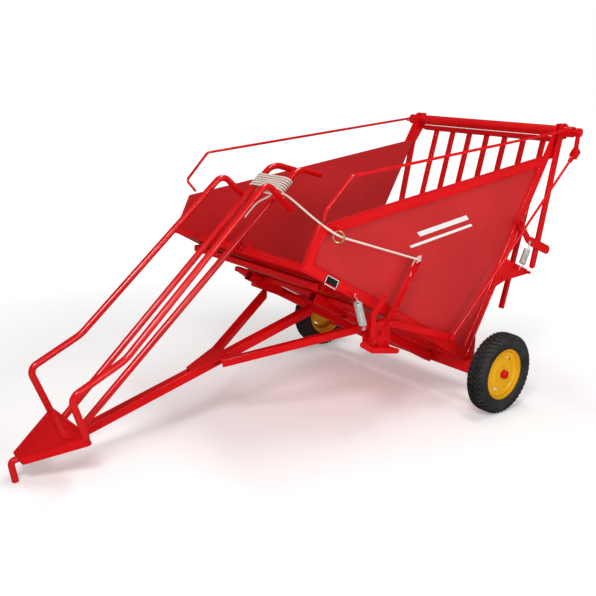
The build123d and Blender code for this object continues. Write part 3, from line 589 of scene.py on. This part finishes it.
# ---------------------------------------------------------------- rope
ROPE_DIAMETER = 0.016
ROPE_LAY = 0.052              # along the rope, for one turn of its strands
ROPE_STEP = 0.006
STRANDS = 3
STRAND_OUT, STRAND_RADIUS = 0.47, 0.53   # as shares of the rope's radius
HANK_TURNS = 6
HANK_REACH = 0.1505           # from the middle plane to an inner guide at the hank
HANK_PITCH = 0.0205           # from one turn to the next, along the guides
GUIDE_RADIUS = 0.024


def hank_axes():
    """The hank's middle, its direction up the guides and the direction square to it, in side view."""
    low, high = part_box("rope_hank")
    foot, top = at(3.196, 0, 0.282), at(1.410, 0, 1.930)
    run = (foot - top).normalized()
    return (low + high) / 2, run, run.cross(Vector((0, 1, 0))).normalized()


def hank_points():
    """The rope's free tail and its turns round the two inner guides, with 14 points to a turn."""
    middle, run, up = hank_axes()
    middle.y = 0
    across = Vector((0, 1, 0))
    lie = GUIDE_RADIUS + ROPE_DIAMETER * 0.56     # from a guide's middle to the rope's
    points = [at(1.700, -0.100, 1.555), at(1.610, -0.100, 1.650), at(1.575, 0.000, 1.705),
              middle + across * 0.110 - up * 0.062 - run * 0.045]
    for turn in range(HANK_TURNS):
        ring = []
        for side in (1, -1):
            for degrees in (-75, -25, 25, 75):
                angle = math.radians(degrees + (0 if side > 0 else 180))
                beside = across * (side * HANK_REACH + lie * math.cos(angle))
                ring.append(beside + up * (lie * math.sin(angle)))
            ring.append(up * (lie * side) + across * (side * 0.10))
            ring.append(up * (lie * side))
            ring.append(up * (lie * side) - across * (side * 0.10))
        for k, offset in enumerate(ring):
            share = (turn + k / len(ring)) - HANK_TURNS / 2 + 0.5
            slack = offset.normalized() * random.uniform(0, 0.003) + run * random.uniform(-0.0015, 0.0015)
            points.append(middle + offset + run * (share * HANK_PITCH) + slack)
    return points


ROPE_ROUTE = [
    at(1.572, 0.186, 1.773),
    at(1.760, 0.791, 1.658),
    at(1.622, 0.850, 1.560),
    at(1.530, 0.850, 1.532),
    at(0.818, 0.853, 1.312),
]


def spline_line(points):
    """Points read from the smooth NURBS line that has these control points."""
    data = bpy.data.curves.new("route", "CURVE")
    data.dimensions = "3D"
    data.resolution_u = 6
    spline = data.splines.new("NURBS")
    spline.points.add(len(points) - 1)
    for point, place in zip(spline.points, points):
        point.co = (*place, 1)
    spline.order_u = 3
    spline.use_endpoint_u = True
    holder = bpy.data.objects.new("route", data)
    mesh = bpy.data.meshes.new_from_object(holder)
    line = [vertex.co.copy() for vertex in mesh.vertices]
    bpy.data.meshes.remove(mesh)
    bpy.data.curves.remove(data)
    return line


def resampled(line, step):
    """The line again, with its points evenly spaced."""
    result, carried = [line[0]], 0.0
    for a, b in zip(line, line[1:]):
        length = (b - a).length
        while carried + length >= step and length > 1e-9:
            a = a.lerp(b, (step - carried) / length)
            result.append(a)
            length = (b - a).length
            carried = 0.0
        carried += length
    result.append(line[-1])
    return result


def strands(line, rope_radius, pitch, step):
    """Three twisted strands round a line, as one shape."""
    shape = Shape()
    axes = frames_along(line)
    for strand in range(STRANDS):
        path = []
        for k, (point, (u, v)) in enumerate(zip(line, axes)):
            turn = 2 * math.pi * (k * step / pitch + strand / STRANDS)
            path.append(point + (u * math.cos(turn) + v * math.sin(turn)) * rope_radius * STRAND_OUT)
        shape.add(*tube(path, rope_radius * STRAND_RADIUS, 7))
    return shape


def make_rope():
    """The whole rope, from its eye on the trip lever to its free tail below the hank."""
    route = hank_points() + ROPE_ROUTE
    line = resampled(spline_line(route), ROPE_STEP)
    shape = strands(line, ROPE_DIAMETER / 2, ROPE_LAY, ROPE_STEP)
    rope = shape.make("rope_laid", FIBRE, "rope_fibre", None, 80.0)
    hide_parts("rope_hank", "trip_rope")
    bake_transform(rope)


def make_knot():
    """The rope's end tied through the eye of the trip lever, with a short free tail."""
    eye = at(0.800, 0.835, 1.305)
    line = []
    for k in range(64):
        share = k / 63
        turn = 2 * math.pi * 2.6 * share
        spread = 0.017 + 0.004 * math.sin(3 * turn)
        line.append(eye + Vector((0.004 + spread * math.cos(turn) * 0.9, 0.012 * math.sin(turn) + 0.002,
                                  -0.016 + 0.040 * share + 0.010 * math.sin(turn))))
    tail = [line[-1] + Vector((0.012 * k, 0.003 * math.sin(k), 0.006 * k - 0.0035 * k * k))
            for k in range(1, 8)]
    path = resampled(spline_line(line + tail), 0.005)
    shape = strands(path, ROPE_DIAMETER * 0.42, 0.05, 0.005)
    shape.make("rope_knot", FIBRE, "rope_fibre", "trip_crank", 80.0)


make_rope()
make_knot()


# ---------------------------------------------------------------- trims and small fittings
PANEL_CORNERS = ((1.750, 1.632), (1.885, 1.346), (0.078, 0.377), (-0.812, 2.016))
BORDER = 0.080
STRIPES = ((0.470, 1.520, 0.560, 0.040), (0.480, 1.445, 0.700, 0.022))   # X, Z, length and height
STRIPE_TILT = -8.6
PLATE_CENTRE = (1.612, 1.232)


def inset(corners, distance):
    """The corners of a closed side-view outline moved inward by a distance."""
    lines = []
    count = len(corners)
    middle = Vector((sum(x for x, _ in corners) / count, sum(z for _, z in corners) / count))
    for k in range(count):
        a, b = Vector(corners[k]), Vector(corners[(k + 1) % count])
        run = (b - a).normalized()
        square = Vector((-run.y, run.x))
        if square.dot(middle - a) < 0:
            square = -square
        lines.append((a + square * distance, run))
    moved = []
    for k in range(count):
        (a, u), (b, v) = lines[k - 1], lines[k]
        cross = u.x * v.y - u.y * v.x
        along = ((b - a).x * v.y - (b - a).y * v.x) / cross
        moved.append(a + u * along)
    return moved


def rounded_loop(corners, y, radius):
    """A closed side-view outline with round corners, as points at one Y."""
    line = []
    count = len(corners)
    for k in range(count):
        corner = Vector(corners[k])
        before = (Vector(corners[k - 1]) - corner).normalized() * radius
        after = (Vector(corners[(k + 1) % count]) - corner).normalized() * radius
        for step in range(7):
            t = step / 6
            spot = corner + before * (1 - t) ** 2 + after * t ** 2
            line.append(at(spot.x, y, spot.y))
    return line + line[:2]


def make_border_beads():
    """The folded edges of the pressed side panels, inside and outside their borders."""
    shape = Shape()
    for sign in (1, -1):
        for distance, radius in ((0.006, 0.020), (BORDER - 0.004, 0.026)):
            line = rounded_loop(inset(PANEL_CORNERS, distance), sign * (PANEL_FACE - 0.001), radius)
            shape.add(*tube(line, 0.0055, 10, False))
    shape.make("panel_folded_edges", RED, "red_paint", "frame", 50.0)


def slab(corners, y_low, y_high):
    """A thin flat plate with the given side-view corners."""
    shape = Shape()
    count = len(corners)
    points = [at(x, y_low, z) for x, z in corners] + [at(x, y_high, z) for x, z in corners]
    faces = [tuple(range(count)), tuple(range(count, 2 * count))]
    faces += [(k, (k + 1) % count, count + (k + 1) % count, count + k) for k in range(count)]
    shape.add(points, faces)
    return shape


def slanted(x, z, length, height, tilt, lean=0.0):
    """Corners of a bar in side view, tilted by some degrees, with its ends leaning."""
    c, s = math.cos(math.radians(tilt)), math.sin(math.radians(tilt))
    corners = []
    for along, up in ((-length / 2, -height / 2), (length / 2, -height / 2), (length / 2, height / 2),
                      (-length / 2, height / 2)):
        along += lean * up
        corners.append((x + along * c - up * s, z + along * s + up * c))
    return corners


def make_stripes():
    """Plain painted stripes on both side panels."""
    shape = Shape()
    for sign in (1, -1):
        for x, z, length, height in STRIPES:
            corners = slanted(x, z, length, height, STRIPE_TILT, 0.8)
            shape.join(slab(corners, sign * (SHEET_FACE - 0.0005), sign * (SHEET_FACE + 0.0007)))
    shape.make("panel_stripes", WHITE, "red_paint", "frame", 20.0)


def make_plate_border():
    """The white line round the blank plate."""
    shape = Shape()
    (front_x, front_z), (rear_x, rear_z) = PANEL_CORNERS[1:3]
    slope = math.atan2(front_z - rear_z, front_x - rear_x)
    c, s = math.cos(slope), math.sin(slope)
    face = PANEL_FACE + 0.002
    for along, up, length, height in ((0, 0.031, 0.118, 0.005), (0, -0.031, 0.118, 0.005),
                                      (0.0585, 0, 0.005, 0.057), (-0.0585, 0, 0.005, 0.057)):
        x, z = PLATE_CENTRE[0] + along * c - up * s, PLATE_CENTRE[1] + along * s + up * c
        corners = slanted(x, z, length, height, math.degrees(slope))
        shape.join(slab(corners, face - 0.0005, face + 0.0006))
    shape.make("blank_plate_line", WHITE, "plate_black", "frame", 20.0)


def make_bolts():
    """Hexagon heads on the pivots and brackets of the left side."""
    fixed = Shape()
    for x, y, z, size in ((-0.430, 0.846, 1.465, 0.017), (1.235, 0.854, 0.765, 0.017),
                          (1.070, 0.845, 0.865, 0.020), (-0.300, 0.792, 1.010, 0.010),
                          (-0.345, 0.792, 1.135, 0.010), (-0.235, 0.792, 1.030, 0.010),
                          (1.150, 0.798, 0.850, 0.012), (1.060, 0.798, 0.790, 0.011)):
        fixed.join(hex_head(at(x, y, z), size, size * 0.7))
    fixed.make("bolt_heads", RED, "red_paint", "frame", 30.0)
    moving = hex_head(at(0.345, 0.857, 0.625), 0.014, 0.010)
    moving.make("rod_foot_nut", RED, "red_paint", "trip_crank", 30.0)
    for side, sign in (("left", 1), ("right", -1)):
        clamp = Shape()
        for x, z in ((-0.880, 2.150), (-0.950, 2.152)):
            clamp.join(hex_head(at(x, sign * 0.819, z), 0.009, 0.007, sign))
        clamp.make(f"gate_clamp_bolts_{side}", RED, "red_paint", "gate", 30.0)


def make_plate_bead():
    """The pressed bead that curves across the hitch plate."""
    nose, rear = at(3.545, 0, 0.176), at(3.215, 0, 0.309)
    run = (rear - nose).normalized()
    up = Vector((-run.z, 0, run.x))
    up = up if up.z > 0 else -up
    route = [nose + run * u + Vector((0, v, 0)) + up * 0.0005
             for u, v in ((0.345, -0.190), (0.322, -0.060), (0.268, 0.120), (0.300, 0.190), (0.335, 0.222))]
    shape = Shape()
    shape.add(*tube(resampled(spline_line(route), 0.006), 0.006, 10))
    shape.make("plate_pressed_bead", RED, "red_paint", "frame", 50.0)


def make_lip_fittings():
    """The small pins and tabs in the middle of the bucket's front lip."""
    shape = Shape()
    outward = Matrix.Rotation(-math.pi / 2, 4, "Z")
    for y, z, size in ((0.090, 1.372, 0.013), (0.145, 1.392, 0.017), (0.190, 1.378, 0.014),
                       (0.232, 1.368, 0.011)):
        head = hex_head(Vector(), size, size * 1.3)
        shape.join(head.moved(Matrix.Translation(at(1.889, y, z)) @ outward))
    for y in (0.112, 0.214):
        tab = ((1.884, 1.350), (1.908, 1.356), (1.902, 1.432), (1.880, 1.424))
        shape.join(slab(tab, y, y + 0.010))
    shape.make("lip_fittings", RED, "red_paint", "frame", 30.0)


make_border_beads()
make_lip_fittings()
make_stripes()
make_plate_border()
make_bolts()
make_plate_bead()


# ---------------------------------------------------------------- floor, light and camera
FLOOR_HALF = 60.0
GLOW_SCALE = 0.1              # the floor's glow ramp covers ten metres from the middle
SURROUND_SEEN = 1.0           # the strength of the white surround to the camera,
SURROUND_LIGHT = 0.24         # as light on the machine,
SURROUND_MIRRORED = 0.06      # and in its gloss


def make_stage():
    """A pale studio floor that brightens to plain white away from the machine."""
    mesh = bpy.data.meshes.new("studio_floor")
    corners = [(x * FLOOR_HALF, y * FLOOR_HALF, 0) for x, y in ((-1, -1), (1, -1), (1, 1), (-1, 1))]
    mesh.from_pydata(corners, [], [(0, 1, 2, 3)])
    material, tree, shader = new_material("studio_white")
    mottle = noise(tree, 0.8, 2.0)
    colour = ramp(tree, mottle.outputs["Fac"], [(0.3, grey(0.82)), (0.7, grey(0.84))])
    place = tree.nodes.new("ShaderNodeTexCoord")
    distance = tree.nodes.new("ShaderNodeVectorMath")
    distance.operation = "LENGTH"
    tree.links.new(place.outputs["Object"], distance.inputs[0])
    share = tree.nodes.new("ShaderNodeMath")
    share.operation = "MULTIPLY"
    share.inputs[1].default_value = GLOW_SCALE
    tree.links.new(distance.outputs["Value"], share.inputs[0])
    glow = ramp(tree, share.outputs["Value"], [(0.25, grey(0.30)), (0.75, grey(0.95))])
    tree.links.new(colour.outputs["Color"], shader.inputs["Base Color"])
    tree.links.new(glow.outputs["Color"], shader.inputs["Emission Color"])
    shader.inputs["Emission Strength"].default_value = 1.0
    shader.inputs["Roughness"].default_value = 0.9
    shader.inputs["Specular IOR Level"].default_value = 0.1
    mesh.materials.append(material)
    floor = bpy.data.objects.new("studio_floor", mesh)
    bpy.context.scene.collection.objects.link(floor)
    floor.visible_glossy = False      # the enamel mirrors the dim surround, not the bright floor


def area_light(name, place, target, size, power, size_y=None):
    data = bpy.data.lights.new(name, "AREA")
    data.energy = power
    data.shape = "RECTANGLE"
    data.size = size
    data.size_y = size_y or size
    lamp = bpy.data.objects.new(name, data)
    lamp.location = place
    lamp.rotation_euler = (Vector(target) - Vector(place)).to_track_quat("-Z", "Y").to_euler()
    bpy.context.scene.collection.objects.link(lamp)


def surround(tree, strength):
    node = tree.nodes.new("ShaderNodeBackground")
    node.inputs["Color"].default_value = (1.0, 1.0, 1.0, 1.0)
    node.inputs["Strength"].default_value = strength
    return node.outputs["Background"]


def choose(tree, share, first, second):
    """The first shader where the share is 0, and the second where it is 1."""
    mix = tree.nodes.new("ShaderNodeMixShader")
    tree.links.new(share, mix.inputs["Fac"])
    tree.links.new(first, mix.inputs[1])
    tree.links.new(second, mix.inputs[2])
    return mix.outputs["Shader"]


def make_light():
    """A white surround to look at, dimmer ones to light by and to mirror, and three soft boxes."""
    world = bpy.data.worlds.new("studio")
    world.use_nodes = True
    tree = world.node_tree
    path = tree.nodes.new("ShaderNodeLightPath")
    unseen = choose(tree, path.outputs["Is Glossy Ray"], surround(tree, SURROUND_LIGHT),
                    surround(tree, SURROUND_MIRRORED))
    whole = choose(tree, path.outputs["Is Camera Ray"], unseen, surround(tree, SURROUND_SEEN))
    tree.links.new(whole, tree.nodes["World Output"].inputs["Surface"])
    bpy.context.scene.world = world
    area_light("key", (5.5, 4.5, 7.0), (0, 0, 1.0), 2.2, 360, 2.2)
    area_light("top", (-1.5, 0.5, 7.5), (-0.5, 0, 1.2), 6.0, 220, 0.9)
    area_light("side", (-1.0, 8.5, 3.2), (0, 0, 0.9), 5.0, 150, 1.2)
    bpy.context.scene.view_settings.view_transform = "Standard"


def make_camera():
    """The camera stands ahead of the machine's left front corner and looks back and down at it."""
    yaw, pitch, roll = math.radians(229.7427), math.radians(15.0595), math.radians(2.0344)
    forward = Vector((math.cos(yaw) * math.cos(pitch), math.sin(yaw) * math.cos(pitch), -math.sin(pitch)))
    level = Vector((math.sin(yaw), -math.cos(yaw), 0.0))
    upright = level.cross(forward)
    right = level * math.cos(roll) + upright * math.sin(roll)
    up = upright * math.cos(roll) - level * math.sin(roll)
    data = bpy.data.cameras.new("camera")
    data.sensor_width = 36.0
    data.lens = 50.227
    data.clip_end = 200.0
    camera = bpy.data.objects.new("camera", data)
    place = at(5.33248, 4.83238, 2.59143)
    rows = Matrix((right, up, -forward)).transposed()
    camera.matrix_world = Matrix.Translation(place) @ rows.to_4x4()
    bpy.context.scene.collection.objects.link(camera)
    bpy.context.scene.camera = camera


make_stage()
make_light()
make_camera()
